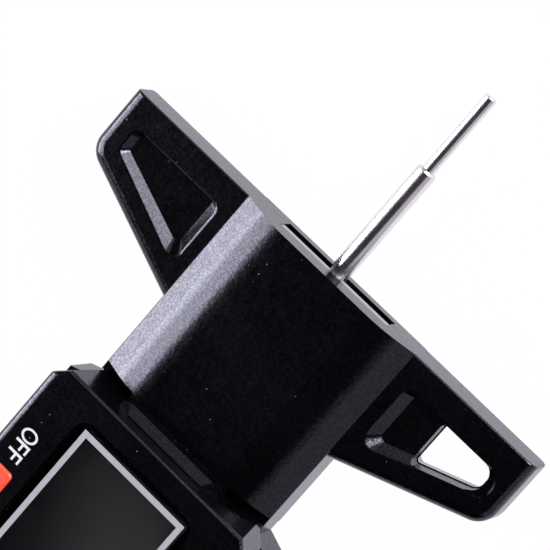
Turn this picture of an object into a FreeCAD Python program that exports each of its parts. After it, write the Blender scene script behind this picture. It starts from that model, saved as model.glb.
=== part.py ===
import FreeCAD, Part
import math
import os

V = FreeCAD.Vector

# Depth gauge, millimetres. While it is drawn, x = 0 is its plane of symmetry, y = 0 is the
# measuring face under the base with the pin pointing along +y, and z = 0 is its flat back.
# The last function moves the origin to the middle of the footprint.

# Fits
slide_clearance = 0.05
button_clearance = 0.08
door_clearance = 0.08
pressed_clearance = 0.02
stop_clearance = 0.1
overrun = 0.5

# Measuring pin
measuring_range = 25.4
pin_radius = 1.2
pin_shoulder_reach = 15.0
tip_radius = 0.75
pin_shoulder_bevel = 0.25
pin_end_bevel = 0.12
pin_held_length = 10.0
roll_pin_radius = 0.5
roll_pin_depth = 6.5

# Beam
beam_width = 16.0
beam_thickness = 3.3
beam_back_z = 1.65
beam_recess = 0.05
beam_lip_thickness = 1.22
beam_rebate_depth = 2.6
beam_pin_drop = 0.2
beam_edge_bevel = 0.25
scale_width = 11.0
scale_thickness = 0.3
scale_start = 24.0
scale_end_margin = 2.5

# Base bar with its two wings
base_half_width = 30.3
wing_end_depth = 8.7
wing_slope_share = 0.3626
wing_end_front_z = 5.3
wing_middle_front_z = 5.9
wing_corner_radius = 2.8
wing_front_round = 1.35
wing_back_round = 0.8
face_edge_round = 0.25
parting_z = 3.2

# Sleeve
sleeve_half_width = 12.65
sleeve_flat_half_width = 8.5
sleeve_shoulder_z = 5.65
sleeve_top_z = 8.25
sleeve_back_round = 0.7
sleeve_edge_round = 0.25
sleeve_top_round = 8.0
sleeve_step_length = 0.9
sleeve_step_reach = 0.2
sleeve_core_half_width = 6.0
sleeve_core_depth = 1.4
sleeve_core_margin = 3.0
tongue_length = 4.0
tongue_side_gap = 0.25
tongue_screw_margin = 1.0

# Pockets in the wings, in the front shell
pocket_inner_x = 14.45
pocket_end_margin = 2.85
pocket_top_depth = 3.34
pocket_edge_margin = 2.94
pocket_rim_z = 5.45
pocket_floor_z = 4.6
pocket_inner_run = 1.05
pocket_outer_run = 0.9
pocket_top_run = 0.12
pocket_lower_run = 1.04
pocket_inner_top_radius = 0.9
pocket_outer_top_radius = 1.3
pocket_outer_low_radius = 0.9
pocket_inner_low_radius = 1.2
pocket_floor_radius_loss = 0.5
pocket_rim_round = 0.4
ejector_radius = 1.5
ejector_depth = 0.08
ejector_left_x = -17.95
ejector_right_x = 17.05
ejector_y_depth = 6.9

# Window through the right wing, with a round seat at its outer end
window_inner_x = 19.83
window_end_margin = 3.2
window_edge_margin = 3.19
window_front_draft = 0.2
window_ledge = 0.1
window_back_draft = 0.3
window_inner_back_draft = 0.56
window_end_radius = 1.3
window_corner_radius = 0.45
seat_end_margin = 3.75
seat_y_depth = 5.2
seat_radius = 1.98
seat_floor_radius = 1.6

# Display head
head_front_depth = 25.2
head_front_top_inset = 0.75
head_length = 48.3
head_half_width = 15.4
head_top_inset = 0.6
head_back_inset = 0.3
head_height = 13.0
head_split_z = 6.0
head_front_corner_cut = 3.4
head_front_top_corner_cut = 1.6
head_rear_corner_cut = 2.0
head_rear_top_corner_cut = 1.5
head_back_front_sweep = 2.5
head_back_front_sweep_share = 2.9
head_top_round = 0.5
head_side_round = 0.95
head_back_round = 0.8
head_floor = 1.1
cover_top_wall = 1.4
cover_inner_half_width = 13.5
cover_front_wall = 1.8
cover_rear_wall = 1.3
board_room_half_width = 13.25

# Raised rib at the head's front
rib_half_width = 6.1
rib_root_half_width = 7.4
rib_reach = 0.7
rib_front_z = 10.45
rib_back_z = 10.95
rib_end_bevel = 0.5

# Screws
screw_radius = 0.8
screw_head_radius = 1.5
screw_head_height = 0.6
screw_recess = 0.1
screw_slot_width = 0.35
screw_slot_depth = 0.3
base_screw_front_depth = 4.6
base_screw_rear_depth = 19.6
base_screw_length = 5.2
head_screw_x = 11.4
head_screw_front_offset = 3.8
head_screw_rear_offset = 4.0
head_screw_length = 9.0
boss_radius = 1.7

# Circuit board and what it carries
board_thickness = 0.8
board_half_width = 13.1
board_front_offset = 6.2
board_boss_gap = 3.4
board_tail_half_width = 6.4
board_rear_gap = 1.2
dome_radius = 1.45
dome_height = 0.35
dome_sheet = 0.12
blob_radius = 3.0
blob_height_share = 0.386
blob_offset = 17.0
crystal_length = 6.0
crystal_width = 2.2
crystal_height_share = 0.561
crystal_offset = 26.0
chip_cap_length = 1.6
chip_cap_width = 0.9
chip_cap_height_share = 0.281
chip_cap_spacing = 3.2
chip_cap_offset = 10.0

# Display
lens_half_width = 8.8
lens_front_offset = 3.3
lens_length = 28.7
lens_corner_radius = 2.0
lens_thickness = 0.8
lens_below_top = 0.15
lens_clearance = 0.08
border_half_width = 7.64
border_front_offset = 4.32
border_length = 26.65
border_line = 0.66
border_thickness = 0.05
window_margin = 0.2
lcd_half_width = 9.2
lcd_overlap = 0.8
lcd_thickness = 2.6
gasket_thickness = 0.3
gasket_width = 1.0
zebra_width = 1.6
zebra_inset = 0.5

# Buttons, in a column on the left and one on the right
button_x = 11.6
button_width = 2.6
button_length = 4.0
button_corner = 0.55
button_proud = 0.35
button_top_round = 0.3
button_flange = 0.35
button_flange_thickness = 0.55
button_flange_gap = 0.05
button_stem_radius = 0.9
button_travel = 0.35
button_dome_gap = 0.05
off_button_offset = 15.87
button_pitch = 10.2

# Battery bay and door
cell_radius = 5.8
cell_door_gap = 0.65
cell_bevel = 0.4
cell_cap_radius = 4.6
cell_cap_height = 0.25
cell_wall_gap = 0.4
contact_sheet = 0.2
contact_width = 3.0
contact_height = 3.2
contact_tab = 2.4
door_half_width = 7.0
door_thickness = 0.9
door_length = 14.5
door_tongue = 0.8
door_tongue_thickness = 0.3
door_edge_round = 0.25
door_groove_count = 4
door_groove_spacing = 1.1
door_groove_width = 0.5
door_groove_depth = 0.25
door_groove_half_length = 3.5
door_groove_offset = 3.0

# Gib that takes up side play
gib_thickness = 0.6
gib_height = 2.4
gib_length = 25.0
gib_front_offset = 13.0
gib_play = 0.02
gib_spring_sheet = 0.2
gib_spring_bow = 0.55
gib_end_gap = 0.3
gib_floor_gap = 0.3

# Travel stop
stop_pin_radius = 0.8
stop_pin_drop = 0.6
stop_pin_offset = 11.0

# Thumb cap on the beam's tail
cap_gap = 0.35
cap_half_width = 9.0
cap_length = 5.0
cap_back_z = 0.5
cap_top_z = 8.6
cap_socket_depth = 3.0
cap_corner_radius = 1.4
cap_edge_round = 0.4
cap_groove_count = 3
cap_groove_spacing = 1.2
cap_groove_radius = 0.35
cap_screw_length = 8.0

# Places that follow from the sizes
beam_top_z = beam_back_z + beam_thickness
pin_z = beam_back_z + beam_thickness / 2 - beam_pin_drop
slot_half_width = beam_width / 2 + slide_clearance
slot_back_z = beam_back_z - slide_clearance
slot_top_z = beam_top_z + slide_clearance
board_z = slot_top_z + slide_clearance
board_top_z = board_z + board_thickness
base_screw_x = (slot_half_width + sleeve_half_width) / 2
tongue_half_width = head_screw_x + tongue_screw_margin
pocket_outer_x = base_half_width - pocket_end_margin
window_outer_x = base_half_width - window_end_margin
seat_x = base_half_width - seat_end_margin
head_front_y = -head_front_depth
head_rear_y = head_front_y - head_length
cover_ceiling_z = head_height - cover_top_wall
tongue_start_y = head_front_y - cover_front_wall
tongue_end_y = tongue_start_y - tongue_length
cover_inner_rear_y = head_rear_y + cover_rear_wall
tail_y = head_rear_y - cap_gap - cap_length
beam_tail_y = head_rear_y - cap_gap - cap_socket_depth
boss_front_y = head_front_y - head_screw_front_offset
boss_rear_y = head_rear_y + head_screw_rear_offset
board_front_y = head_front_y - board_front_offset
board_wide_length = board_front_y - boss_rear_y - boss_radius - board_boss_gap
board_tail_length = board_front_y - board_wide_length - cover_inner_rear_y - board_rear_gap
lens_front_y = head_front_y - lens_front_offset
lens_rear_y = lens_front_y - lens_length
lens_floor_z = head_height - lens_below_top - lens_thickness
border_front_y = head_front_y - border_front_offset
border_rear_y = border_front_y - border_length
lcd_front_y = border_front_y + lcd_overlap
lcd_rear_y = border_rear_y - lcd_overlap
lcd_top_z = cover_ceiling_z - gasket_thickness
lcd_back_z = lcd_top_z - lcd_thickness
blob_height = (lcd_back_z - board_top_z) * blob_height_share
crystal_height = (lcd_back_z - board_top_z) * crystal_height_share
chip_cap_height = (lcd_back_z - board_top_z) * chip_cap_height_share
cell_y = cover_inner_rear_y + cell_wall_gap + cell_radius
cell_back_z = board_top_z + contact_sheet
door_front_y = head_rear_y + door_length
door_back_z = head_height - door_thickness
cell_height = door_back_z - cell_door_gap - cell_back_z
gib_front_y = head_front_y - gib_front_offset
gib_rear_y = gib_front_y - gib_length
stop_pin_y = head_front_y - stop_pin_offset
off_button_y = head_front_y - off_button_offset
on_button_y = off_button_y - button_pitch
zero_button_y = on_button_y - button_pitch
origin_shift = -(measuring_range + tail_y) / 2


def box(x0, x1, y0, y1, z0, z1):
    """Box between two corners."""
    return Part.makeBox(x1 - x0, y1 - y0, z1 - z0, V(x0, y0, z0))


def upright(radius, x, y, z0, z1):
    """Cylinder along z."""
    return Part.makeCylinder(radius, z1 - z0, V(x, y, z0), V(0, 0, 1))


def lengthwise(radius, x, z, y0, y1):
    """Cylinder along y."""
    return Part.makeCylinder(radius, y1 - y0, V(x, y0, z), V(0, 1, 0))


def joined(shapes):
    """One solid out of several that touch or overlap."""
    return shapes[0].multiFuse(shapes[1:]).removeSplitter()


def mirrored(shape):
    """Copy on the other side of the plane of symmetry."""
    return shape.mirror(V(0, 0, 0), V(1, 0, 0))


def edges_where(shape, test):
    """Edges whose middle point passes a test."""
    return [edge for edge in shape.Edges if test(edge.valueAt((edge.FirstParameter + edge.LastParameter) / 2))]


def rounded_wire(points, radii):
    """Closed planar outline with each corner rounded by its own radius."""
    corners = []
    count = len(points)
    for i, point in enumerate(points):
        back = (points[i - 1] - point).normalize()
        ahead = (points[(i + 1) % count] - point).normalize()
        half = back.getAngle(ahead) / 2
        if radii[i] == 0:
            corners.append((point, None, point))
            continue
        reach = radii[i] / math.tan(half)
        middle = (back + ahead).normalize() * (radii[i] / math.sin(half) - radii[i])
        corners.append((point + back * reach, point + middle, point + ahead * reach))
    edges = []
    for i, (start, middle, end) in enumerate(corners):
        if middle is not None:
            edges.append(Part.Arc(start, middle, end).toShape())
        edges.append(Part.LineSegment(end, corners[(i + 1) % count][0]).toShape())
    return Part.Wire(edges)


def rectangle(half_width, y0, y1, z, radius):
    """Rounded rectangle centred on the plane of symmetry."""
    points = [V(-half_width, y1, z), V(half_width, y1, z), V(half_width, y0, z), V(-half_width, y0, z)]
    return rounded_wire(points, [radius] * len(points))


def moved_edges(points, runs):
    """Corners of a polygon whose edges have each moved inwards by their own run."""
    lines = []
    count = len(points)
    for i, run in enumerate(runs):
        along = (points[(i + 1) % count] - points[i]).normalize()
        inward = V(-along.y, along.x, 0)
        lines.append((points[i] + inward * run, along))
    corners = []
    for i in range(count):
        first, along = lines[i - 1]
        second, other = lines[i]
        cross = along.x * other.y - along.y * other.x
        step = ((second.x - first.x) * other.y - (second.y - first.y) * other.x) / cross
        corners.append(first + along * step)
    return corners


def wing_lower_y(x):
    """Height of the wing's sloping lower edge at a distance from the middle."""
    return -wing_end_depth - (base_half_width - x) * wing_slope_share


def wing_bar():
    """Bar with both wings, before the sleeve is added."""
    inner_x = sleeve_flat_half_width
    inner_y = wing_lower_y(inner_x)
    front = [V(-base_half_width, 0, wing_end_front_z), V(0, 0, wing_middle_front_z),
             V(base_half_width, 0, wing_end_front_z), V(base_half_width, 0, 0), V(-base_half_width, 0, 0)]
    slab = Part.Face(rounded_wire(front, [0] * len(front))).extrude(V(0, inner_y - overrun, 0))
    plan = [V(base_half_width, 0, 0), V(-base_half_width, 0, 0), V(-base_half_width, -wing_end_depth, 0),
            V(-inner_x, inner_y, 0), V(inner_x, inner_y, 0), V(base_half_width, -wing_end_depth, 0)]
    radii = [0, 0, wing_corner_radius, 0, 0, wing_corner_radius]
    prism = Part.Face(rounded_wire(plan, radii)).extrude(V(0, 0, sleeve_top_z))
    bar = slab.common(prism)

    def on_wing_rim(p):
        return abs(p.x) > inner_x and p.y < -wing_corner_radius / 2

    def rim_front(p):
        return on_wing_rim(p) and p.z > parting_z + wing_back_round

    def rim_back(p):
        return on_wing_rim(p) and p.z < wing_back_round / 2

    bar = bar.makeFillet(wing_front_round, edges_where(bar, rim_front))
    bar = bar.makeFillet(wing_back_round, edges_where(bar, rim_back))
    return bar.makeFillet(face_edge_round, edges_where(bar, lambda p: p.y > -face_edge_round / 2))


def sleeve_block(y0, y1):
    """Length of the sleeve's outer section."""
    points = [V(-sleeve_half_width, y1, 0), V(sleeve_half_width, y1, 0), V(sleeve_half_width, y1, sleeve_shoulder_z),
              V(sleeve_flat_half_width, y1, sleeve_top_z), V(-sleeve_flat_half_width, y1, sleeve_top_z),
              V(-sleeve_half_width, y1, sleeve_shoulder_z)]
    radii = [sleeve_back_round, sleeve_back_round, sleeve_edge_round, sleeve_top_round, sleeve_top_round,
             sleeve_edge_round]
    return Part.Face(rounded_wire(points, radii)).extrude(V(0, y0 - y1, 0))


def base_body():
    """Whole outer form of wings, sleeve and the tongue that runs into the head."""
    sleeve = sleeve_block(tongue_start_y, 0)
    rebate = box(-base_half_width, base_half_width, tongue_start_y - overrun, head_front_y, -overrun, head_floor)
    tongue = box(-tongue_half_width, tongue_half_width, tongue_end_y, tongue_start_y, head_floor, board_z)
    body = joined([wing_bar(), sleeve]).cut(rebate)
    body = joined([body, tongue])
    slot = box(-slot_half_width, slot_half_width, tongue_end_y - overrun, overrun, slot_back_z, slot_top_z)
    return body.cut(slot)


def pocket_lower_y(x):
    """Lower edge of a pocket's rim at a distance from the middle."""
    return wing_lower_y(x) + pocket_edge_margin * math.hypot(1, wing_slope_share)


def pocket_wire(z):
    """Outline of the right wing's pocket at one height."""
    share = (pocket_rim_z - z) / (pocket_rim_z - pocket_floor_z)
    points = [V(pocket_inner_x, -pocket_top_depth, z), V(pocket_inner_x, pocket_lower_y(pocket_inner_x), z),
              V(pocket_outer_x, pocket_lower_y(pocket_outer_x), z), V(pocket_outer_x, -pocket_top_depth, z)]
    runs = [pocket_inner_run, pocket_lower_run, pocket_outer_run, pocket_top_run]
    radii = [pocket_inner_top_radius, pocket_inner_low_radius, pocket_outer_low_radius, pocket_outer_top_radius]
    loss = pocket_floor_radius_loss * share
    return rounded_wire(moved_edges(points, [run * share for run in runs]), [radius - loss for radius in radii])


def pocket():
    """Cutter for the right wing's pocket."""
    return Part.makeLoft([pocket_wire(pocket_floor_z), pocket_wire(2 * pocket_rim_z - pocket_floor_z)], True, True)


def window_seat():
    """Cutter for the round seat at the window's outer end."""
    rise = pocket_rim_z - pocket_floor_z
    rim_gain = seat_radius - seat_floor_radius
    return Part.makeCone(seat_floor_radius, seat_radius + rim_gain, 2 * rise,
                         V(seat_x, -seat_y_depth, pocket_floor_z))


def window_lower_y(x):
    """Lower edge of the window at a distance from the middle."""
    return wing_lower_y(x) + window_edge_margin * math.hypot(1, wing_slope_share)


def window_wire(z, spread, inner_spread):
    """Outline of the window at the parting of the shells, opened out by a spread and at its inner side by its own."""
    top_y = -pocket_top_depth - pocket_top_run
    points = [V(window_inner_x, top_y, z), V(window_inner_x, window_lower_y(window_inner_x), z),
              V(window_outer_x, window_lower_y(window_outer_x), z), V(window_outer_x, top_y, z)]
    radii = [window_corner_radius, window_corner_radius, window_end_radius, window_end_radius]
    spreads = [inner_spread, spread, spread, min(spread, 0)]
    corners = moved_edges(points, [-each for each in spreads])
    return rounded_wire(corners, [radius + spread for radius in radii])


def front_window():
    """Cutter for the window in the front shell, which opens out towards the front."""
    gain = 2 * window_front_draft
    return Part.makeLoft([window_wire(parting_z, 0, 0), window_wire(2 * pocket_rim_z - parting_z, gain, gain)], True, True)


def rear_window():
    """Cutter for the window in the rear shell, a ledge smaller and opening out towards the back."""
    back = window_wire(0, window_back_draft - window_ledge, window_inner_back_draft - window_ledge)
    return Part.makeLoft([back, window_wire(parting_z, -window_ledge, -window_ledge)], True, True)


def base_screw_places():
    """Places of the four screws that join the base shells."""
    return [(x, -depth) for x in (-base_screw_x, base_screw_x)
            for depth in (base_screw_front_depth, base_screw_rear_depth)]


def head_screw_places():
    """Places of the four screws that join the head covers."""
    return [(x, y) for x in (-head_screw_x, head_screw_x) for y in (boss_front_y, boss_rear_y)]


def screw(x, y, length):
    """Slotted pan head screw driven from the back."""
    head_top = screw_recess + screw_head_height
    head = upright(screw_head_radius, x, y, screw_recess, head_top)
    shank = upright(screw_radius, x, y, screw_recess, screw_recess + length)
    slot = box(x - screw_head_radius, x + screw_head_radius, y - screw_slot_width / 2, y + screw_slot_width / 2,
               screw_recess - overrun, screw_recess + screw_slot_depth)
    return joined([head, shank]).cut(slot)


def screw_seat(x, y, top_z):
    """Counterbore and clearance hole for a screw driven from the back."""
    seat = upright(screw_head_radius + slide_clearance, x, y, -overrun, screw_recess + screw_head_height)
    hole = upright(screw_radius + slide_clearance, x, y, 0, top_z)
    return joined([seat, hole])


def base_front_shell(body):
    """Front half of the base, with a pocket in each wing."""
    shell = body.common(box(-base_half_width, base_half_width, tongue_end_y, 0, parting_z, sleeve_top_z))
    shell = shell.cut([pocket(), mirrored(pocket())])

    def on_pocket_rim(p):
        return (sleeve_half_width < abs(p.x) < pocket_outer_x + pocket_rim_round and p.z > pocket_floor_z + pocket_rim_round
                and -pocket_top_depth + pocket_rim_round > p.y > pocket_lower_y(abs(p.x)) - pocket_rim_round)

    shell = shell.makeFillet(pocket_rim_round, edges_where(shell, on_pocket_rim))
    core = box(-sleeve_core_half_width, sleeve_core_half_width, head_front_y + sleeve_core_margin,
               -sleeve_core_margin, slot_top_z - overrun, slot_top_z + sleeve_core_depth)
    step = box(rib_root_half_width, sleeve_half_width + overrun, head_front_y - sleeve_step_reach,
               head_front_y + sleeve_step_length, sleeve_shoulder_z, sleeve_top_z + overrun)
    cutters = [front_window(), window_seat(), core, step, mirrored(step)]
    cutters += [upright(ejector_radius, x, -ejector_y_depth, pocket_floor_z - ejector_depth, pocket_rim_z)
                for x in (ejector_left_x, ejector_right_x)]
    cutters += [upright(screw_radius + pressed_clearance, x, y, parting_z - overrun, screw_recess + base_screw_length)
                for x, y in base_screw_places()]
    cutters += [upright(screw_radius + slide_clearance, x, y, parting_z - overrun, board_z + overrun)
                for x, y in head_screw_places()]
    return shell.cut(cutters)


def base_rear_shell(body):
    """Rear half of the base."""
    shell = body.common(box(-base_half_width, base_half_width, tongue_end_y, 0, 0, parting_z))
    cutters = [rear_window()]
    cutters += [screw_seat(x, y, parting_z + overrun) for x, y in base_screw_places()]
    cutters += [upright(screw_radius + slide_clearance, x, y, 0, parting_z + overrun)
                for x, y in head_screw_places()]
    return shell.cut(cutters)


def beam():
    """Flat slide that carries the pin and the scale."""
    front_y = -beam_recess
    half = beam_width / 2
    bar = box(-half, half, beam_tail_y, front_y, beam_back_z, beam_top_z)

    def on_long_edge(p):
        return abs(abs(p.x) - half) < pressed_clearance and abs(p.y - (front_y + beam_tail_y) / 2) < overrun

    bar = bar.makeChamfer(beam_edge_bevel, edges_where(bar, on_long_edge))
    rebate = box(-beam_width, beam_width, front_y - beam_rebate_depth, front_y + overrun, beam_back_z - overrun,
                 beam_top_z - beam_lip_thickness)
    pin_bore = lengthwise(pin_radius + pressed_clearance, 0, pin_z, front_y - pin_held_length, front_y + overrun)
    roll_bore = upright(roll_pin_radius + pressed_clearance, 0, -roll_pin_depth, beam_back_z, beam_top_z)
    scale_bed = box(-scale_width / 2, scale_width / 2, head_rear_y + scale_end_margin, -scale_start,
                    beam_top_z - scale_thickness, beam_top_z + overrun)
    stop_bore = upright(stop_pin_radius + pressed_clearance, 0, stop_pin_y, beam_back_z - overrun, pin_z)
    screw_bore = lengthwise(screw_radius + pressed_clearance, 0, pin_z, tail_y, tail_y + cap_screw_length)
    return bar.cut([rebate, pin_bore, roll_bore, scale_bed, stop_bore, screw_bore])


def scale_strip():
    """Scale glued in its bed on the beam's front."""
    return box(-scale_width / 2, scale_width / 2, head_rear_y + scale_end_margin, -scale_start,
               beam_top_z - scale_thickness, beam_top_z)


def measuring_pin():
    """Turned pin with a thick and a thin stage."""
    start = -beam_recess - pin_held_length
    shoulder = pin_shoulder_reach - pin_shoulder_bevel
    shank = lengthwise(pin_radius, 0, pin_z, start, shoulder)
    bevel = Part.makeCone(pin_radius, pin_radius - pin_shoulder_bevel, pin_shoulder_bevel, V(0, shoulder, pin_z),
                          V(0, 1, 0))
    thin = lengthwise(tip_radius, 0, pin_z, pin_shoulder_reach, measuring_range - pin_end_bevel)
    end = Part.makeCone(tip_radius, tip_radius - pin_end_bevel, pin_end_bevel,
                        V(0, measuring_range - pin_end_bevel, pin_z), V(0, 1, 0))
    cross = upright(roll_pin_radius + pressed_clearance, 0, -roll_pin_depth, beam_back_z, beam_top_z)
    return joined([shank, bevel, thin, end]).cut(cross)


def pin_roll_pin():
    """Cross pin through the beam and the measuring pin."""
    return upright(roll_pin_radius, 0, -roll_pin_depth, beam_back_z, beam_top_z)


def stop_pin():
    """Pin under the beam that runs in a blind groove of the rear cover."""
    return upright(stop_pin_radius, 0, stop_pin_y, beam_back_z - stop_pin_drop, pin_z)


def head_outline(z, half_width, front_y, rear_y, front_cut, front_sweep, rear_cut):
    """Plan outline of the head with its corners cut off, the front ones by a width and a sweep back."""
    return [V(-half_width + front_cut, front_y, z), V(-half_width, front_y - front_sweep, z),
            V(-half_width, rear_y + rear_cut, z), V(-half_width + rear_cut, rear_y, z),
            V(half_width - rear_cut, rear_y, z), V(half_width, rear_y + rear_cut, z),
            V(half_width, front_y - front_sweep, z), V(half_width - front_cut, front_y, z)]


def flat_sided(low, high):
    """Solid with flat sides between two outlines that have parallel edges."""
    faces = [Part.Face(Part.makePolygon(outline + outline[:1])) for outline in (low[::-1], high)]
    for i in range(len(low)):
        side = [low[i - 1], low[i], high[i], high[i - 1], low[i - 1]]
        faces.append(Part.Face(Part.makePolygon(side)))
    return Part.makeSolid(Part.makeShell(faces))


def front_rib():
    """Raised rib across the foot of the head's front wall."""
    front_y = head_front_y + rib_reach
    inner_y = head_front_y - cover_front_wall
    profile = [V(0, inner_y, sleeve_shoulder_z), V(0, front_y, sleeve_shoulder_z), V(0, front_y, rib_front_z),
               V(0, head_front_y - head_front_top_inset / 2, rib_back_z), V(0, inner_y, rib_back_z)]
    rib = Part.Face(rounded_wire(profile, [0] * len(profile))).extrude(V(rib_root_half_width, 0, 0))
    taper = [V(rib_half_width, front_y, 0), V(rib_root_half_width, head_front_y, 0),
             V(rib_root_half_width + overrun, head_front_y, 0), V(rib_root_half_width + overrun, front_y + overrun, 0),
             V(rib_half_width, front_y + overrun, 0)]
    corner = Part.Face(rounded_wire(taper, [0] * len(taper))).extrude(V(0, 0, head_height))
    slope = [V(rib_half_width - rib_end_bevel, 0, rib_back_z), V(rib_root_half_width, 0, rib_back_z),
             V(rib_root_half_width, 0, rib_front_z - 2 * rib_end_bevel)]
    bevel = Part.Face(rounded_wire(slope, [0] * len(slope))).extrude(V(0, 2 * inner_y, 0))
    half = rib.cut([corner, bevel])
    return joined([half, mirrored(half)])


def button_window(x, y):
    """Cutter for one button's opening."""
    half_x = button_width / 2 + button_clearance
    half_y = button_length / 2 + button_clearance
    z = cover_ceiling_z - overrun
    points = [V(x - half_x, y + half_y, z), V(x - half_x, y - half_y, z), V(x + half_x, y - half_y, z),
              V(x + half_x, y + half_y, z)]
    wire = rounded_wire(points, [button_corner + button_clearance] * len(points))
    return Part.Face(wire).extrude(V(0, 0, cover_top_wall + 2 * overrun))


def button_places():
    """Name and place of every button."""
    return [("off_button", -button_x, off_button_y), ("on_button", -button_x, on_button_y),
            ("zero_button", -button_x, zero_button_y), ("unit_button", button_x, on_button_y)]


def head_front_cover():
    """Upper casing of the head."""
    low = head_outline(head_split_z, head_half_width, head_front_y, head_rear_y, head_front_corner_cut,
                       head_front_corner_cut, head_rear_corner_cut)
    high = head_outline(head_height, head_half_width - head_top_inset, head_front_y - head_front_top_inset,
                        head_rear_y + head_back_inset, head_front_top_corner_cut, head_front_top_corner_cut,
                        head_rear_top_corner_cut)
    cover = flat_sided(low, high)

    def side_rim(p):
        return p.z > head_height - overrun / 2 and abs(p.x) > head_half_width - head_top_inset - pressed_clearance

    def end_rim(p):
        along_side = head_rear_y + head_rear_corner_cut < p.y < head_front_y - head_front_corner_cut
        return p.z > head_height - pressed_clearance and not along_side

    cover = cover.makeFillet(head_side_round, edges_where(cover, side_rim))
    cover = cover.makeFillet(head_top_round, edges_where(cover, end_rim))
    cover = joined([cover, front_rib()])
    room = box(-cover_inner_half_width, cover_inner_half_width, cover_inner_rear_y, tongue_start_y,
               head_split_z - overrun, cover_ceiling_z)
    cover = cover.cut([room, sleeve_block(tongue_start_y, head_front_y + rib_reach + overrun)])
    bosses = [upright(boss_radius, x, y, board_z, cover_ceiling_z) for x, y in head_screw_places()]
    cover = joined([cover] + bosses)
    recess = Part.Face(rectangle(lens_half_width, lens_rear_y, lens_front_y, lens_floor_z, lens_corner_radius))
    view = box(-border_half_width - window_margin, border_half_width + window_margin, border_rear_y - window_margin,
               border_front_y + window_margin, cover_ceiling_z - overrun, head_height)
    cutters = [recess.extrude(V(0, 0, head_height)), view, door_room()]
    cutters += [button_window(x, y) for name, x, y in button_places()]
    cutters += [upright(screw_radius + pressed_clearance, x, y, board_z - overrun, screw_recess + head_screw_length)
                for x, y in head_screw_places()]
    return cover.cut(cutters)


def door_form(gap):
    """Battery door, or its room in the cover when a gap is given."""
    half = door_half_width + gap
    tongue_z = door_back_z + (door_thickness - door_tongue_thickness) / 2
    rear_y = head_rear_y + head_back_inset - (overrun if gap else 0)
    top_z = head_height + (overrun if gap else 0)
    plate = box(-half, half, rear_y, door_front_y + gap, door_back_z - gap, top_z)
    tongue = box(-half - door_tongue, half + door_tongue, rear_y, door_front_y + gap, tongue_z - gap,
                 tongue_z + door_tongue_thickness + gap)
    return joined([plate, tongue])


def door_room():
    """Cutter for the battery door with the well for the cell under it."""
    well = upright(cell_radius + cell_wall_gap, 0, cell_y, cover_ceiling_z - overrun, head_height)
    return joined([door_form(door_clearance), well])


def battery_door():
    """Sliding door with finger grooves."""
    door = door_form(0)
    grooves = []
    for i in range(door_groove_count):
        y = head_rear_y + door_groove_offset + i * door_groove_spacing
        grooves.append(box(-door_groove_half_length, door_groove_half_length, y, y + door_groove_width,
                           head_height - door_groove_depth, head_height + overrun))
    door = door.cut(grooves)
    rear_y = head_rear_y + head_back_inset

    def rear_rim(p):
        return p.z > head_height - overrun / 2 and abs(p.y - rear_y) < pressed_clearance

    return door.makeFillet(door_edge_round, edges_where(door, rear_rim))


def head_rear_cover():
    """Lower casing of the head with the beam's channel."""
    low_sweep = head_back_front_sweep - head_back_inset
    low = head_outline(0, head_half_width - head_back_inset, head_front_y, head_rear_y + head_back_inset,
                       low_sweep * head_back_front_sweep_share, low_sweep, head_rear_corner_cut)
    high = head_outline(head_split_z, head_half_width, head_front_y, head_rear_y,
                        head_back_front_sweep * head_back_front_sweep_share, head_back_front_sweep,
                        head_rear_corner_cut)
    cover = flat_sided(low, high)

    def back_rim(p):
        return p.z < overrun / 2 and p.y < head_front_y - overrun

    cover = cover.makeFillet(head_back_round, edges_where(cover, back_rim))
    collar = box(-sleeve_half_width, sleeve_half_width, tongue_start_y, head_front_y + overrun, head_floor,
                 head_split_z + overrun)
    tongue_room_half = tongue_half_width + tongue_side_gap
    tongue_room = box(-tongue_room_half, tongue_room_half, tongue_end_y, tongue_start_y, head_floor,
                      head_split_z + overrun)
    board_room = box(-board_room_half_width, board_room_half_width, cover_inner_rear_y, tongue_end_y + overrun,
                     board_z, head_split_z + overrun)
    channel = box(-slot_half_width, slot_half_width, head_rear_y - overrun, tongue_end_y + overrun, slot_back_z,
                  slot_top_z)
    top_gap = box(-slot_half_width, slot_half_width, cover_inner_rear_y, tongue_end_y + overrun, slot_back_z, board_z)
    gib_back_x = slot_half_width + gib_play + gib_thickness + gib_spring_bow + gib_spring_sheet
    gib_room = box(slot_half_width - overrun, gib_back_x, gib_rear_y - gib_end_gap, gib_front_y + gib_end_gap,
                   beam_back_z + gib_floor_gap, board_z)
    groove_half = stop_pin_radius + stop_clearance
    groove_z = beam_back_z - stop_pin_drop - stop_clearance
    groove = joined([
        box(-groove_half, groove_half, stop_pin_y - measuring_range, stop_pin_y, groove_z, slot_back_z + overrun),
        upright(groove_half, 0, stop_pin_y, groove_z, slot_back_z + overrun),
        upright(groove_half, 0, stop_pin_y - measuring_range, groove_z, slot_back_z + overrun)])
    cutters = [collar, tongue_room, board_room, channel, top_gap, gib_room, groove]
    cutters += [screw_seat(x, y, board_z + overrun) for x, y in head_screw_places()]
    cutters += [upright(boss_radius + slide_clearance, x, y, board_z, head_split_z + overrun)
                for x, y in head_screw_places()]
    return cover.cut(cutters)


def gib_strip():
    """Strip that presses on the beam's side."""
    x = slot_half_width + gib_play
    z = beam_back_z + gib_floor_gap
    return box(x, x + gib_thickness, gib_rear_y, gib_front_y, z, z + gib_height)


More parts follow.
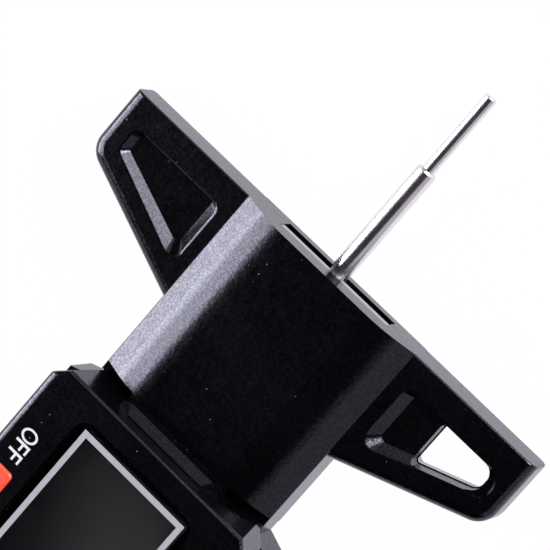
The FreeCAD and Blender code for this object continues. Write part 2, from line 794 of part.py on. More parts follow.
def gib_spring():
    """Bowed leaf behind the gib strip."""
    x = slot_half_width + gib_play + gib_thickness
    z = beam_back_z + gib_floor_gap
    middle_y = (gib_front_y + gib_rear_y) / 2
    inner = Part.Arc(V(x + gib_spring_bow, gib_rear_y, z), V(x, middle_y, z), V(x + gib_spring_bow, gib_front_y, z))
    outer_x = x + gib_spring_sheet
    outer = Part.Arc(V(outer_x + gib_spring_bow, gib_front_y, z), V(outer_x, middle_y, z),
                     V(outer_x + gib_spring_bow, gib_rear_y, z))
    front = Part.LineSegment(V(x + gib_spring_bow, gib_front_y, z), V(outer_x + gib_spring_bow, gib_front_y, z))
    rear = Part.LineSegment(V(outer_x + gib_spring_bow, gib_rear_y, z), V(x + gib_spring_bow, gib_rear_y, z))
    wire = Part.Wire([inner.toShape(), front.toShape(), outer.toShape(), rear.toShape()])
    return Part.Face(wire).extrude(V(0, 0, gib_height))


def circuit_board():
    """Board on the rails above the beam, with a narrow tail under the cell."""
    wide = box(-board_half_width, board_half_width, board_front_y - board_wide_length, board_front_y, board_z,
               board_top_z)
    tail_start = board_front_y - board_wide_length
    tail = box(-board_tail_half_width, board_tail_half_width, tail_start - board_tail_length, tail_start, board_z,
               board_top_z)
    return joined([wide, tail])


def board_components():
    """Chip under its drop of resin, quartz can and two small capacitors."""
    ball_radius = (blob_radius ** 2 + blob_height ** 2) / (2 * blob_height)
    blob_y = board_front_y - blob_offset
    ball = Part.makeSphere(ball_radius, V(0, blob_y, board_top_z + blob_height - ball_radius))
    blob = ball.common(upright(ball_radius, 0, blob_y, board_top_z, board_top_z + 2 * blob_height))
    crystal_y = board_front_y - crystal_offset
    crystal = box(-crystal_length / 2, crystal_length / 2, crystal_y, crystal_y + crystal_width, board_top_z,
                  board_top_z + crystal_height)
    pieces = [blob, crystal]
    for side in (-1, 1):
        x = side * chip_cap_spacing / 2
        y = board_front_y - chip_cap_offset
        pieces.append(box(x - chip_cap_width / 2, x + chip_cap_width / 2, y, y + chip_cap_length, board_top_z,
                          board_top_z + chip_cap_height))
    return Part.makeCompound(pieces)


def snap_domes():
    """Metal dome under each button."""
    domes = []
    for name, x, y in button_places():
        outer = Part.makeCone(dome_radius, dome_radius / 2, dome_height, V(x, y, board_top_z), V(0, 0, 1))
        inner = Part.makeCone(dome_radius - dome_sheet, dome_radius / 2 - dome_sheet, dome_height - dome_sheet,
                              V(x, y, board_top_z), V(0, 0, 1))
        domes.append(outer.cut(inner))
    return Part.makeCompound(domes)


def button(x, y):
    """Button with a flange that keeps it in and a stem down to its dome."""
    half_x = button_width / 2
    half_y = button_length / 2
    flange_top = cover_ceiling_z - button_flange_gap
    flange_z = flange_top - button_flange_thickness
    points = [V(x - half_x, y + half_y, flange_z), V(x - half_x, y - half_y, flange_z),
              V(x + half_x, y - half_y, flange_z), V(x + half_x, y + half_y, flange_z)]
    key = Part.Face(rounded_wire(points, [button_corner] * len(points)))
    key = key.extrude(V(0, 0, head_height + button_proud - flange_z))
    key = key.makeFillet(button_top_round, edges_where(key, lambda p: p.z > head_height + button_proud / 2))
    flange = box(x - half_x - button_flange, x + half_x + button_flange, y - half_y - button_flange,
                 y + half_y + button_flange, flange_z, flange_top)
    stem_z = board_top_z + dome_height + button_dome_gap + button_travel
    stem = upright(button_stem_radius, x, y, stem_z, flange_z)
    return joined([key, flange, stem])


def zebra_strips():
    """Elastomer strips between the board and the display's long edges."""
    x = lcd_half_width - zebra_inset
    left = box(-x, -x + zebra_width, lcd_rear_y + zebra_inset, board_front_y - zebra_inset, board_top_z, lcd_back_z)
    return Part.makeCompound([left, mirrored(left)])


def lcd_panel():
    """Display glass."""
    return box(-lcd_half_width, lcd_half_width, lcd_rear_y, lcd_front_y, lcd_back_z, lcd_top_z)


def display_gasket():
    """Foam frame between the display and the cover."""
    outer = box(-lcd_half_width, lcd_half_width, lcd_rear_y, lcd_front_y, lcd_top_z, cover_ceiling_z)
    half = lcd_half_width - gasket_width
    inner = box(-half, half, lcd_rear_y + gasket_width / 2, lcd_front_y - gasket_width / 2, lcd_top_z,
                cover_ceiling_z)
    return outer.cut(inner)


def display_lens():
    """Clear window glued in the cover's recess."""
    half = lens_half_width - lens_clearance
    wire = rectangle(half, lens_rear_y + lens_clearance, lens_front_y - lens_clearance, lens_floor_z,
                     lens_corner_radius - lens_clearance)
    return Part.Face(wire).extrude(V(0, 0, lens_thickness))


def display_border():
    """Silver line printed on the window."""
    z = lens_floor_z + lens_thickness
    outer = box(-border_half_width, border_half_width, border_rear_y, border_front_y, z, z + border_thickness)
    inner_half = border_half_width - border_line
    inner = box(-inner_half, inner_half, border_rear_y + border_line, border_front_y - border_line, z,
                z + border_thickness)
    return outer.cut(inner)


def button_cell():
    """Button cell, cap side down on its contact."""
    body = upright(cell_radius, 0, cell_y, cell_back_z + cell_cap_height, cell_back_z + cell_height)
    body = body.makeChamfer(cell_bevel, edges_where(body, lambda p: p.z < cell_back_z + cell_height / 2
                                                    and abs(p.x) + abs(p.y - cell_y) > pressed_clearance
                                                    and p.z < cell_back_z + cell_cap_height + pressed_clearance))
    cap = upright(cell_cap_radius, 0, cell_y, cell_back_z, cell_back_z + cell_cap_height)
    return joined([body, cap])


def battery_contact_negative():
    """Flat leaf under the cell, with a tab onto the board."""
    leaf = upright(cell_cap_radius, 0, cell_y, board_top_z, board_top_z + contact_sheet)
    tab = box(-contact_width / 2, contact_width / 2, cell_y, cell_y + cell_radius + contact_tab, board_top_z,
              board_top_z + contact_sheet)
    return joined([leaf, tab])


def battery_contact_positive():
    """Bent spring that touches the cell's side."""
    x = cell_radius + pressed_clearance
    y = cell_y + contact_width
    upright_leaf = box(x, x + contact_sheet, cell_y - contact_width / 2, y, board_top_z, cell_back_z + contact_height)
    foot = box(x, x + contact_sheet, y, y + contact_tab, board_top_z, board_top_z + contact_height / 2)
    return joined([upright_leaf, foot])


def thumb_cap():
    """Grip pressed on the beam's tail."""
    front_y = head_rear_y - cap_gap
    points = [V(-cap_half_width, front_y, cap_back_z), V(-cap_half_width, tail_y, cap_back_z),
              V(cap_half_width, tail_y, cap_back_z), V(cap_half_width, front_y, cap_back_z)]
    wire = rounded_wire(points, [cap_edge_round, cap_corner_radius, cap_corner_radius, cap_edge_round])
    cap = Part.Face(wire).extrude(V(0, 0, cap_top_z - cap_back_z))
    cap = cap.makeFillet(cap_edge_round, edges_where(cap, lambda p: p.z > cap_top_z - overrun / 2))
    half = beam_width / 2 + pressed_clearance
    socket = box(-half, half, beam_tail_y, front_y + overrun, beam_back_z - pressed_clearance,
                 beam_top_z + pressed_clearance)
    hole = lengthwise(screw_radius + slide_clearance, 0, pin_z, tail_y - overrun, beam_tail_y + overrun)
    seat = lengthwise(screw_head_radius + slide_clearance, 0, pin_z, tail_y - overrun, tail_y + screw_head_height)
    cutters = [socket, hole, seat]
    for i in range(cap_groove_count):
        y = tail_y + cap_length / 2 + (i - (cap_groove_count - 1) / 2) * cap_groove_spacing
        cutters.append(Part.makeCylinder(cap_groove_radius, 2 * cap_half_width, V(-cap_half_width, y, cap_top_z),
                                         V(1, 0, 0)))
    return cap.cut(cutters)


def thumb_cap_screw():
    """Screw that holds the cap on the beam."""
    head = lengthwise(screw_head_radius, 0, pin_z, tail_y + pressed_clearance, tail_y + screw_head_height)
    shank = lengthwise(screw_radius, 0, pin_z, tail_y + pressed_clearance, tail_y + cap_screw_length)
    slot = box(-screw_slot_width / 2, screw_slot_width / 2, tail_y, tail_y + screw_slot_depth,
               pin_z - screw_head_radius, pin_z + screw_head_radius)
    return joined([head, shank]).cut(slot)


def screws(places, length):
    """Group of like screws."""
    return Part.makeCompound([screw(x, y, length) for x, y in places])


def sub_parts():
    """Every sub-part by name."""
    body = base_body()
    parts = {
        "base_front_shell": base_front_shell(body),
        "base_rear_shell": base_rear_shell(body),
        "base_screws": screws(base_screw_places(), base_screw_length),
        "beam": beam(),
        "scale_strip": scale_strip(),
        "measuring_pin": measuring_pin(),
        "pin_roll_pin": pin_roll_pin(),
        "stop_pin": stop_pin(),
        "thumb_cap": thumb_cap(),
        "thumb_cap_screw": thumb_cap_screw(),
        "head_front_cover": head_front_cover(),
        "head_rear_cover": head_rear_cover(),
        "head_screws": screws(head_screw_places(), head_screw_length),
        "gib_strip": gib_strip(),
        "gib_spring": gib_spring(),
        "circuit_board": circuit_board(),
        "board_components": board_components(),
        "snap_domes": snap_domes(),
        "zebra_strips": zebra_strips(),
        "lcd_panel": lcd_panel(),
        "display_gasket": display_gasket(),
        "display_lens": display_lens(),
        "display_border": display_border(),
        "battery_door": battery_door(),
        "button_cell": button_cell(),
        "battery_contact_positive": battery_contact_positive(),
        "battery_contact_negative": battery_contact_negative(),
    }
    for name, x, y in button_places():
        parts[name] = button(x, y)
    return parts


def export_all():
    """Write each sub-part, with the origin moved to the middle of the footprint."""
    os.makedirs("parts", exist_ok=True)
    for name, shape in sub_parts().items():
        shape.translate(V(0, origin_shift, 0))
        shape.exportStep("parts/" + name + ".step")


export_all()
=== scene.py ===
import logging
import math
from dataclasses import dataclass, field
from enum import Enum
from typing import Any, Protocol

import bpy
from mathutils import Matrix, Vector


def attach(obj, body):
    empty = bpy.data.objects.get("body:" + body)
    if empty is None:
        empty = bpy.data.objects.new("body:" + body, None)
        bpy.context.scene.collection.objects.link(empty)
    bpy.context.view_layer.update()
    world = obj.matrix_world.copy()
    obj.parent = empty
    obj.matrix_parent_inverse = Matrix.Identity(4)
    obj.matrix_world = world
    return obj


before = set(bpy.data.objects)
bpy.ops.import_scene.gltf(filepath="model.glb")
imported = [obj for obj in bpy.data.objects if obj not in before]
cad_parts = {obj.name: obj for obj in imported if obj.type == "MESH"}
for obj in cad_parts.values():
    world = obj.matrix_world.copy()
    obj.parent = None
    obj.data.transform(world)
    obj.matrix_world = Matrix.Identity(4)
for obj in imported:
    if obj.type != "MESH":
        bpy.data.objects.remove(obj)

LOG = logging.getLogger("depth_gauge")
MM = 0.001
FACE_SHIFT = 26.725  # from the gauge's measuring face to the frame's origin, in millimetres
MIDDLE = 0.5  # the mean of a noise
Colour = tuple[float, float, float]
Span = tuple[float, float]


class Port(Enum):
    """The inputs of the surface shader that a finish may vary."""

    COLOUR = "Base Color"
    ROUGHNESS = "Roughness"
    METALLIC = "Metallic"
    NORMAL = "Normal"


class Scalar:
    """A number on a shader socket, with the arithmetic of Python."""

    def __init__(self, graph: "Graph", socket: bpy.types.NodeSocket) -> None:
        """Keep the graph and the socket."""
        self.graph = graph
        self.socket = socket

    def _with(self, operation: str, *values: Any) -> "Scalar":
        """Add a Math node.

        Args:
            operation: the Math node's operation.
            values: its operands, numbers or scalars.

        Returns:
            The node's result.
        """
        slots = dict(enumerate(values))
        return self.graph.add("ShaderNodeMath", {"operation": operation}, slots).out(0)

    def __add__(self, other: Any) -> "Scalar":
        """Sum."""
        return self._with("ADD", self, other)

    def __radd__(self, other: Any) -> "Scalar":
        """Sum with the number first."""
        return self._with("ADD", other, self)

    def __sub__(self, other: Any) -> "Scalar":
        """Difference."""
        return self._with("SUBTRACT", self, other)

    def __rsub__(self, other: Any) -> "Scalar":
        """Difference with the number first."""
        return self._with("SUBTRACT", other, self)

    def __mul__(self, other: Any) -> "Scalar":
        """Product."""
        return self._with("MULTIPLY", self, other)

    def __rmul__(self, other: Any) -> "Scalar":
        """Product with the number first."""
        return self._with("MULTIPLY", other, self)

    def above(self, limit: float) -> "Scalar":
        """One where the value is above the limit, else nought."""
        return self._with("GREATER_THAN", self, limit)

    def larger(self, other: Any) -> "Scalar":
        """The larger of two values."""
        return self._with("MAXIMUM", self, other)

    def ramp(self, low: float, high: float) -> "Scalar":
        """Rise from nought at low to one at high, held at both ends.

        Args:
            low: the value that gives nought.
            high: the value that gives one.

        Returns:
            The share of the way from low to high.
        """
        node = self.graph.add("ShaderNodeMapRange", {"clamp": True, "interpolation_type": "SMOOTHSTEP"},
                              {"Value": self, "From Min": low, "From Max": high})
        return node.out("Result")


class Node:
    """A placed shader node."""

    def __init__(self, graph: "Graph", node: bpy.types.Node) -> None:
        """Keep the graph and the node."""
        self.graph = graph
        self.node = node

    def out(self, name: Any) -> Scalar:
        """One of the node's outputs, by name or place."""
        return Scalar(self.graph, self.node.outputs[name])


class Graph:
    """The node tree of one material or world."""

    def __init__(self, owner: Any) -> None:
        """Empty the owner's node tree and keep it."""
        owner.use_nodes = True
        self.tree = owner.node_tree
        self.tree.nodes.clear()

    def add(self, kind: str, settings: dict[str, Any], values: dict[Any, Any]) -> Node:
        """Add a node.

        Args:
            kind: the node's type.
            settings: its settings, set first.
            values: a value or a link for each of its inputs.

        Returns:
            The node.
        """
        node = self.tree.nodes.new(kind)
        for key, value in settings.items():
            setattr(node, key, value)
        for key, value in values.items():
            self.feed(node.inputs[key], value)
        return Node(self, node)

    def feed(self, socket: bpy.types.NodeSocket, value: Any) -> None:
        """Give an input its value or its link.

        Args:
            socket: the input.
            value: a scalar to link, a number or a colour.
        """
        if isinstance(value, Scalar):
            self.tree.links.new(value.socket, socket)
        elif isinstance(value, tuple) and socket.type == "RGBA":
            socket.default_value = (*value, 1.0)
        else:
            socket.default_value = value

    def place(self) -> Scalar:
        """The point on the piece, in metres."""
        return self.add("ShaderNodeTexCoord", {}, {}).out("Object")

    def along(self) -> tuple[Scalar, Scalar, Scalar]:
        """The three coordinates of the point, in metres."""
        node = self.add("ShaderNodeSeparateXYZ", {}, {"Vector": self.place()})
        return node.out("X"), node.out("Y"), node.out("Z")

    def stretched(self, scale: Colour) -> Scalar:
        """The point with each coordinate scaled.

        Args:
            scale: the factor of each coordinate.

        Returns:
            The scaled point.
        """
        return self.add("ShaderNodeMapping", {}, {"Vector": self.place(), "Scale": scale}).out("Vector")

    def noise(self, size: float, detail: float = 2.0, roughness: float = 0.5,
              vector: Scalar | None = None) -> Scalar:
        """Smooth noise around a half.

        Args:
            size: the size of a patch in millimetres.
            detail: how many finer layers it has.
            roughness: how strong those layers are.
            vector: the point to read, or None for the point on the piece.

        Returns:
            The noise.
        """
        values = {"Vector": vector or self.place(), "Scale": 1.0 / (size * MM), "Detail": detail,
                  "Roughness": roughness}
        return self.add("ShaderNodeTexNoise", {}, values).out("Fac")

    def specks(self, spacing: float, radius: float, share: float) -> Scalar:
        """Small round marks scattered over the surface.

        Args:
            spacing: the mean distance between cells in millimetres.
            radius: a mark's radius in millimetres.
            share: the share of cells that hold a mark.

        Returns:
            Up to one inside a mark, nought elsewhere.
        """
        cell = self.add("ShaderNodeTexVoronoi", {"feature": "F1"},
                        {"Vector": self.place(), "Scale": 1.0 / (spacing * MM)})
        inside = 1.0 - cell.out("Distance").ramp(0.5 * radius / spacing, radius / spacing)
        tone = self.add("ShaderNodeSeparateColor", {}, {"Color": cell.out("Color")})
        return inside * tone.out("Red").above(1.0 - share) * tone.out("Green")

    def blend(self, share: Scalar, first: Any, second: Any) -> Scalar:
        """Mix two colours.

        Args:
            share: nought for the first, one for the second.
            first: a colour or a link.
            second: a colour or a link.

        Returns:
            The mixed colour.
        """
        node = self.add("ShaderNodeMix", {"data_type": "RGBA"}, {0: share, 6: first, 7: second})
        return node.out(2)

    def relief(self, height: Scalar, depth: float) -> Scalar:
        """A bumped normal.

        Args:
            height: the relief, nought to one.
            depth: what one stands for in millimetres.

        Returns:
            The normal.
        """
        return self.add("ShaderNodeBump", {}, {"Height": height, "Distance": depth * MM}).out("Normal")

    def surface(self, links: dict[Port, Any], fixed: dict[str, Any]) -> None:
        """Close the tree with the surface shader.

        Args:
            links: what varies over the surface.
            fixed: the values that are the same all over.
        """
        values = {port.value: value for port, value in links.items()}
        shader = self.add("ShaderNodeBsdfPrincipled", {}, {**fixed, **values})
        self.add("ShaderNodeOutputMaterial", {}, {"Surface": shader.out("BSDF")})


class Finish(Protocol):
    """What every finish offers: its name and its material."""

    name: str

    def make(self) -> bpy.types.Material:
        """Build the material."""


@dataclass(frozen=True)
class Moulded:
    """Moulded plastic with a spark-eroded grain, a little dust and rubbed spots, sizes in millimetres."""

    name: str
    colour: Colour
    rough: float = 0.24
    grain: float = 0.2
    depth: float = 0.007
    dust: float = 0.06
    ior: float = 1.6
    sheen: Colour = (1.0, 1.0, 1.0)
    vary: float = 0.15
    mottle: float = 0.0
    broad_patch: float = 9.0
    fine_patch: float = 1.6
    sparkle: float = 0.24
    dust_spacing: float = 1.3
    dust_radius: float = 0.1
    dust_colour: Colour = (0.2, 0.2, 0.21)
    broad_swing: float = 0.06
    fine_swing: float = 0.08
    grain_swing: float = 0.12
    dust_swing: float = 0.3

    def make(self) -> bpy.types.Material:
        """Build the material.

        Returns:
            The material.
        """
        material = bpy.data.materials.new(self.name)
        graph = Graph(material)
        grain = graph.noise(self.grain, 3.0, 0.6)
        broad = graph.noise(self.broad_patch, 3.0, 0.5)
        fine = graph.noise(self.fine_patch, 2.0, 0.5)
        spark = graph.noise(self.sparkle, 1.0, 0.5)
        dust = graph.specks(self.dust_spacing, self.dust_radius, self.dust)
        lighter = tuple(min(1.0, c * (1.0 + self.vary)) for c in self.colour)
        darker = tuple(c * (1.0 - self.vary) for c in self.colour)
        tone = graph.blend((broad * 0.5 + grain * 0.5).ramp(0.35, 0.65), darker, lighter)
        tone = graph.blend(dust, tone, self.dust_colour)
        rough = (self.rough + (broad - MIDDLE) * self.broad_swing + (fine - MIDDLE) * self.fine_swing
                 + (grain - MIDDLE) * self.grain_swing + dust * self.dust_swing)
        graph.surface({Port.COLOUR: tone, Port.ROUGHNESS: rough,
                       Port.METALLIC: spark.ramp(0.35, 0.65) * self.mottle,
                       Port.NORMAL: graph.relief(grain, self.depth)},
                      {"IOR": self.ior, "Specular Tint": self.sheen})
        return material


@dataclass(frozen=True)
class Glass:
    """The switched-off display: dark glass with a painted reflection that makes it paler along one way over it,
    sizes in millimetres.
    """

    name: str
    # near is the glass's own dark colour; far is its colour where the painted reflection is strongest, and the
    # two settings below give the painted reflection's direction and span in millimetres.
    near: Colour = (0.0125, 0.0125, 0.0145)
    far: Colour = (0.052, 0.052, 0.054)
    way: tuple[float, float] = (0.916, 0.4)
    reflection_reach: Span = (-12.5, -1.0)
    patch: float = 4.0
    depth: float = 0.0001
    rough: float = 0.35
    swing: float = 0.1
    cloud_share: float = 0.1
    speck_share: float = 0.5
    speck_colour: Colour = (0.12, 0.12, 0.12)

    def make(self) -> bpy.types.Material:
        """Build the material.

        Returns:
            The material.
        """
        material = bpy.data.materials.new(self.name)
        graph = Graph(material)
        across, along, _ = graph.along()
        # Painted reflection: the glass turns from near to far along that way.
        share = (across * self.way[0] + along * self.way[1]).ramp(self.reflection_reach[0] * MM, self.reflection_reach[1] * MM)
        cloud = graph.noise(self.patch, 2.0, 0.5)
        speck = graph.specks(1.4, 0.05, 0.25)
        tone = graph.blend(share * (1.0 - self.cloud_share) + cloud * self.cloud_share, self.near, self.far)
        tone = graph.blend(speck * self.speck_share, tone, self.speck_colour)
        rough = self.rough + (cloud - MIDDLE) * self.swing
        # The glass reflects nothing itself (Specular IOR Level 0); the painted reflection in its colour stands in
        # for that.
        graph.surface({Port.COLOUR: tone, Port.ROUGHNESS: rough,
                       Port.NORMAL: graph.relief(cloud, self.depth)}, {"IOR": 1.5, "Specular IOR Level": 0.0})
        return material


@dataclass(frozen=True)
class Metal:
    """Metal with fine working marks across its length, sizes in millimetres."""

    name: str
    colour: Colour
    rough: float = 0.2
    marks: Colour = (1.0, 14.0, 1.0)
    mark: float = 0.5
    depth: float = 0.0006
    patch: float = 3.0
    dulled: float = 0.86
    mark_swing: float = 0.12
    patch_swing: float = 0.08

    def make(self) -> bpy.types.Material:
        """Build the material.

        Returns:
            The material.
        """
        material = bpy.data.materials.new(self.name)
        graph = Graph(material)
        line = graph.noise(self.mark, 3.0, 0.6, graph.stretched(self.marks))
        broad = graph.noise(self.patch, 2.0, 0.5)
        darker = tuple(c * self.dulled for c in self.colour)
        tone = graph.blend((line * 0.5 + broad * 0.5).ramp(0.3, 0.7), darker, self.colour)
        rough = self.rough + (line - MIDDLE) * self.mark_swing + (broad - MIDDLE) * self.patch_swing
        graph.surface({Port.COLOUR: tone, Port.ROUGHNESS: rough,
                       Port.NORMAL: graph.relief(line, self.depth)}, {"Metallic": 1.0})
        return material


@dataclass(frozen=True)
class Clear:
    """The display window: clear acrylic with the faintest haze and dust, sizes in millimetres."""

    name: str
    colour: Colour = (0.97, 0.98, 0.98)
    dust_colour: Colour = (0.6, 0.6, 0.6)
    rough: float = 0.02
    haze: float = 0.05
    dust_swing: float = 0.4
    patch: float = 5.0
    depth: float = 0.0004
    ior: float = 1.49

    def make(self) -> bpy.types.Material:
        """Build the material.

        Returns:
            The material.
        """
        material = bpy.data.materials.new(self.name)
        graph = Graph(material)
        smear = graph.noise(self.patch, 3.0, 0.6)
        dust = graph.specks(1.6, 0.05, 0.1)
        rough = self.rough + smear.ramp(0.45, 0.8) * self.haze + dust * self.dust_swing
        graph.surface({Port.COLOUR: graph.blend(dust, self.colour, self.dust_colour), Port.ROUGHNESS: rough,
                       Port.NORMAL: graph.relief(smear, self.depth)},
                      {"IOR": self.ior, "Transmission Weight": 1.0})
        return material


@dataclass(frozen=True)
class Panel:
    """A soft lamp, given by the part of the sky that it fills."""

    name: str
    azimuth: Span
    height: Span
    glow: float
    colour: Colour = (1.0, 1.0, 1.0)
    far: float = 0.9

    def hang(self, centre: Vector) -> bpy.types.Object:
        """Hang the lamp round a centre.

        Args:
            centre: the point that it lights.

        Returns:
            The lamp.
        """
        turn, lift = (math.radians(sum(pair) / 2) for pair in (self.azimuth, self.height))
        wide, high = (2 * self.far * math.tan(math.radians(pair[1] - pair[0]) / 2)
                      for pair in (self.azimuth, self.height))
        wide *= math.cos(lift)
        way = Vector((math.cos(turn) * math.cos(lift), math.sin(turn) * math.cos(lift), math.sin(lift)))
        data = bpy.data.lights.new(self.name, "AREA")
        data.shape, data.size, data.size_y = "RECTANGLE", wide, high
        data.energy, data.color = self.glow * math.pi * wide * high, self.colour
        lamp = bpy.data.objects.new(self.name, data)
        bpy.context.scene.collection.objects.link(lamp)
        lamp.location = centre + way * self.far
        lamp.rotation_euler = way.to_track_quat("Z", "Y").to_euler()
        return lamp


@dataclass(frozen=True)
class Studio:
    """Floor, lamps and camera, in metres."""

    centre: Vector = field(default_factory=lambda: Vector((0.0, 0.0, 0.006)))
    floor_size: float = 4.0
    floor_gap: float = 0.02 * MM
    floor_matt: Colour = (0.85, 0.85, 0.85)
    floor_mirrored: Colour = (0.95, 0.94, 1.0)
    floor_white: float = 0.985
    room: Colour = (0.015, 0.015, 0.018)
    lens: float = 213.327
    sensor: float = 36.0
    clip: Span = (0.01, 20.0)
    stand: tuple[tuple[float, ...], ...] = (
        (0.702541, -0.675482, 0.223964, 0.0741587),
        (0.636759, 0.737199, 0.225999, 0.1018878),
        (-0.317764, -0.016163, 0.948032, 0.3392487),
        (0.0, 0.0, 0.0, 1.0),
    )
    panels: tuple[Panel, ...] = (
        Panel("left_low_softbox", (185.0, 223.0), (8.0, 24.0), 12.5, (0.96, 0.96, 1.0)),
        Panel("left_softbox", (187.0, 223.0), (24.0, 42.0), 7.2, (0.96, 0.96, 1.0)),
        Panel("left_upper_softbox", (191.0, 221.0), (42.0, 52.0), 8.5, (0.96, 0.96, 1.0)),
        Panel("left_high_panel", (192.0, 218.0), (52.0, 57.0), 1.5, (0.96, 0.96, 1.0)),
        Panel("rear_left_panel", (228.0, 255.0), (6.0, 22.0), 1.35, (0.95, 0.95, 1.0)),
        Panel("front_softbox", (46.0, 69.0), (6.0, 43.0), 19.0),
        Panel("front_side_softbox", (69.0, 94.0), (6.0, 46.0), 6.0, (0.97, 0.97, 1.0)),
        Panel("front_left_panel", (94.0, 125.0), (6.0, 45.0), 0.6),
        Panel("front_left_high_panel", (98.0, 126.0), (50.0, 62.0), 0.5, (0.93, 0.95, 1.0)),
        Panel("right_panel", (-40.0, 5.0), (3.0, 42.0), 0.52, (0.95, 0.93, 1.0)),
    )

    def floor(self) -> bpy.types.Object:
        """Lay the white floor, open from below.

        Returns:
            The floor.
        """
        bpy.ops.object.select_all(action="DESELECT")
        bpy.ops.mesh.primitive_plane_add(size=self.floor_size, location=(0.0, 0.0, -self.floor_gap))
        floor = bpy.context.object
        floor.name = "floor"
        material = bpy.data.materials.new("pale_floor")
        graph = Graph(material)
        path = graph.add("ShaderNodeLightPath", {}, {})
        seen = path.out("Is Camera Ray").larger(path.out("Is Glossy Ray")).larger(path.out("Is Transmission Ray"))
        matt = graph.add("ShaderNodeBsdfDiffuse", {}, {"Color": self.floor_matt})
        tint = graph.blend(path.out("Is Camera Ray"), self.floor_mirrored, (1.0, 1.0, 1.0))
        white = graph.add("ShaderNodeEmission", {}, {"Color": tint, "Strength": 1.0})
        top = graph.add("ShaderNodeMixShader", {}, {0: seen * self.floor_white, 1: matt.out(0), 2: white.out(0)})
        open_side = graph.add("ShaderNodeBsdfTransparent", {}, {})
        back = graph.add("ShaderNodeNewGeometry", {}, {}).out("Backfacing")
        both = graph.add("ShaderNodeMixShader", {}, {0: back, 1: top.out(0), 2: open_side.out(0)})
        graph.add("ShaderNodeOutputMaterial", {}, {"Surface": both.out(0)})
        floor.data.materials.append(material)
        return floor

    def world(self) -> None:
        """Surround the set with a dim room."""
        world = bpy.data.worlds.new("room")
        bpy.context.scene.world = world
        graph = Graph(world)
        shade = graph.add("ShaderNodeBackground", {}, {"Color": self.room, "Strength": 1.0})
        graph.add("ShaderNodeOutputWorld", {}, {"Surface": shade.out(0)})

    def camera(self) -> None:
        """Set the camera at the photograph's viewing angle."""
        data = bpy.data.cameras.new("view")
        data.lens, data.sensor_width = self.lens, self.sensor
        data.clip_start, data.clip_end = self.clip
        camera = bpy.data.objects.new("view", data)
        bpy.context.scene.collection.objects.link(camera)
        camera.matrix_world = Matrix(self.stand)
        bpy.context.scene.camera = camera

    def build(self) -> None:
        """Set everything up."""
        self.floor()
        self.world()
        self.camera()
        for panel in self.panels:
            panel.hang(self.centre)
        bpy.context.scene.view_settings.view_transform = "Standard"


@dataclass(frozen=True)
class Letter:
    """One printed letter: its sign, the middle of its place and its size, in gauge millimetres."""

    sign: str
    along: float
    width: float = 1.06
    height: float = 2.04


@dataclass(frozen=True)
class Word:
    """One printed word: its letters, and where its line lies across the head."""

    name: str
    letters: tuple[Letter, ...]
    across: float = -11.83


@dataclass
class Print:
    """White words printed on the display side, beside their buttons, in gauge millimetres."""

    words: tuple[Word, ...] = (
        Word("label_off", (Letter("O", -34.53, 1.63, 2.13), Letter("F", -36.03), Letter("F", -37.37))),
        Word("label_on", (Letter("O", -45.7, 1.63, 2.13), Letter("N", -47.6, 1.45))),
        Word("label_zero", (Letter("0", -56.9, 1.3),)),
    )
    turn: float = math.radians(-90.0)
    surface_z: float = 13.0
    ink: float = 0.015
    boldness: float = 0.004
    curve_steps: int = 8
    half_block: float = 0.5

    @staticmethod
    def sides(piece: bpy.types.Object) -> list[Span]:
        """The least and the greatest coordinate of a mesh along each axis.

        Args:
            piece: the mesh object.

        Returns:
            A pair for each of the three axes.
        """
        columns = zip(*(vertex.co for vertex in piece.data.vertices))
        return [(min(column), max(column)) for column in columns]

    def letter(self, letter: Letter, across: float) -> bpy.types.Object:
        """Print one letter.

        Args:
            letter: the letter.
            across: where its line lies across the head, in millimetres.

        Returns:
            Its mesh.
        """
        bpy.ops.object.select_all(action="DESELECT")
        bpy.ops.object.text_add(location=(0.0, 0.0, 0.0))
        text = bpy.context.object
        text.data.body = letter.sign
        text.data.offset = self.boldness
        text.data.resolution_u = self.curve_steps
        text.data.extrude = self.half_block
        bpy.ops.object.convert(target="MESH")
        piece = bpy.context.object
        size = (letter.width, letter.height, self.ink)
        piece.scale = [wanted * MM / (high - low) for wanted, (low, high) in zip(size, self.sides(piece))]
        bpy.ops.object.transform_apply(location=True, rotation=True, scale=True)
        piece.rotation_euler = (0.0, 0.0, self.turn)
        bpy.ops.object.transform_apply(location=True, rotation=True, scale=True)
        place = (across, letter.along + FACE_SHIFT, self.surface_z + self.ink / 2)
        piece.location = [wanted * MM - (low + high) / 2 for wanted, (low, high) in zip(place, self.sides(piece))]
        bpy.ops.object.transform_apply(location=True, rotation=True, scale=True)
        return piece

    def word(self, word: Word) -> bpy.types.Object:
        """Print one word.

        Args:
            word: the word.

        Returns:
            Its mesh.
        """
        letters = [self.letter(letter, word.across) for letter in word.letters]
        bpy.ops.object.select_all(action="DESELECT")
        for letter in letters:
            letter.select_set(True)
        bpy.context.view_layer.objects.active = letters[0]
        if len(letters) > 1:
            bpy.ops.object.join()
        piece = bpy.context.object
        piece.name = word.name
        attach(piece, "housing")
        return piece

    def build(self, painter: "Painter") -> list[bpy.types.Object]:
        """Print every word.

        Args:
            painter: who dresses them.

        Returns:
            Their meshes.
        """
        pieces = []
        for word in self.words:
            piece = self.word(word)
            painter.dress(piece, painter.WHITE)
            LOG.info("printed %s", word.name)
            pieces.append(piece)
        return pieces


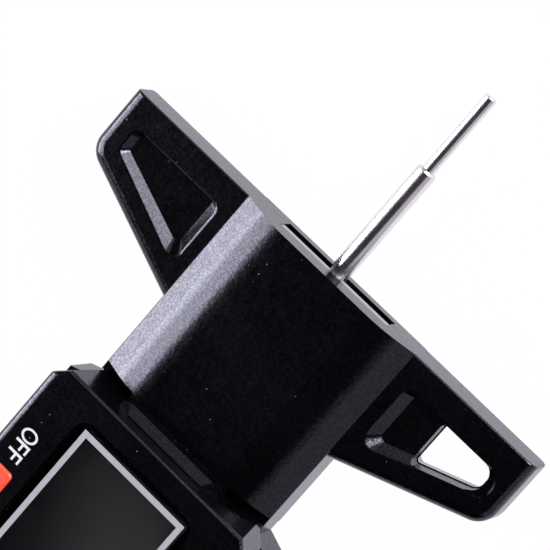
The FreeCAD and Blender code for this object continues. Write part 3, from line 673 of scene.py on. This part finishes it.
class Painter:
    """Gives the frame's nodes their finishes."""

    BLACK = Moulded("black_grained_plastic", (0.0012, 0.0012, 0.0017), rough=0.19, grain=0.45, depth=0.02,
                    dust=0.35, ior=1.65, sheen=(0.83, 0.82, 1.0), vary=0.5, mottle=0.36)
    GREY = Moulded("grey_button_plastic", (0.09, 0.09, 0.1), 0.35)
    RED = Moulded("red_button_plastic", (0.85, 0.07, 0.035), 0.35)
    PIN = Metal("polished_stainless", (0.88, 0.84, 0.86), 0.24)
    BEAM = Metal("ground_beam_steel", (0.5, 0.5, 0.51), 0.3)
    SCREW = Metal("blackened_screw_steel", (0.12, 0.12, 0.13), 0.35)
    BRASS = Metal("gib_brass", (0.75, 0.55, 0.25), 0.3)
    SPRING = Metal("spring_steel", (0.55, 0.53, 0.5), 0.25)
    CELL = Metal("cell_can_steel", (0.7, 0.7, 0.7), 0.22)
    SCALE = Moulded("scale_laminate", (0.03, 0.12, 0.06), 0.4)
    BOARD = Moulded("board_laminate", (0.02, 0.1, 0.04), 0.4)
    RESIN = Moulded("component_resin", (0.012, 0.012, 0.012), 0.5)
    RUBBER = Moulded("connector_elastomer", (0.06, 0.06, 0.06), 0.6)
    FOAM = Moulded("gasket_foam", (0.02, 0.02, 0.02), 0.9)
    # The display's colour carries a painted reflection.
    LCD = Glass("display_glass_painted_reflection")
    SILVER = Moulded("silver_print", (0.34, 0.33, 0.37), rough=0.5, grain=0.4, depth=0.001, dust=0.0, ior=1.5,
                     vary=0.04)
    WHITE = Moulded("white_print", (0.62, 0.63, 0.66), rough=0.45, grain=0.3, depth=0.001, dust=0.0, ior=1.5,
                    vary=0.05)
    LENS = Clear("window_acrylic")
    LENS_EDGE = 0.12
    SAME_POINT = 0.001

    def __init__(self) -> None:
        """Name the finish of each node."""
        self.finish: dict[str, Finish] = {
            "base_front_shell": self.BLACK, "base_rear_shell": self.BLACK, "head_front_cover": self.BLACK,
            "head_rear_cover": self.BLACK, "battery_door": self.BLACK, "thumb_cap": self.BLACK,
            "off_button": self.RED, "on_button": self.GREY, "zero_button": self.GREY, "unit_button": self.GREY,
            "measuring_pin": self.PIN, "beam": self.BEAM, "pin_roll_pin": self.BEAM, "stop_pin": self.BEAM,
            "base_screws": self.SCREW, "head_screws": self.SCREW, "thumb_cap_screw": self.SCREW,
            "gib_strip": self.BRASS, "gib_spring": self.SPRING, "snap_domes": self.SPRING,
            "battery_contact_positive": self.SPRING, "battery_contact_negative": self.SPRING,
            "button_cell": self.CELL, "scale_strip": self.SCALE, "circuit_board": self.BOARD,
            "board_components": self.RESIN, "zebra_strips": self.RUBBER, "display_gasket": self.FOAM,
            "lcd_panel": self.LCD, "display_lens": self.LENS, "display_border": self.SILVER,
        }
        self.made: dict[str, bpy.types.Material] = {}

    def dress(self, target: bpy.types.Object, finish: Finish) -> None:
        """Give an object its finish.

        Args:
            target: the object.
            finish: its finish.
        """
        if finish.name not in self.made:
            self.made[finish.name] = finish.make()
        target.data.materials.clear()
        target.data.materials.append(self.made[finish.name])

    def nodes(self) -> None:
        """Dress every node of the frame."""
        for name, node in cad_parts.items():
            self.dress(node, self.finish[name])
            LOG.info("dressed %s", name)

    def soften(self) -> None:
        """Break the window's moulded edges, so that they catch the light."""
        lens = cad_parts["display_lens"]
        weld = lens.modifiers.new("weld", "WELD")
        weld.merge_threshold = self.SAME_POINT * MM
        edge = lens.modifiers.new("edge", "BEVEL")
        edge.width, edge.segments, edge.limit_method = self.LENS_EDGE * MM, 2, "ANGLE"


def main() -> None:
    """Build the scene."""
    logging.basicConfig(level=logging.INFO)
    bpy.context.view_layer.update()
    Studio().build()
    painter = Painter()
    painter.nodes()
    painter.soften()
    Print().build(painter)


if __name__ == "__main__":
    main()
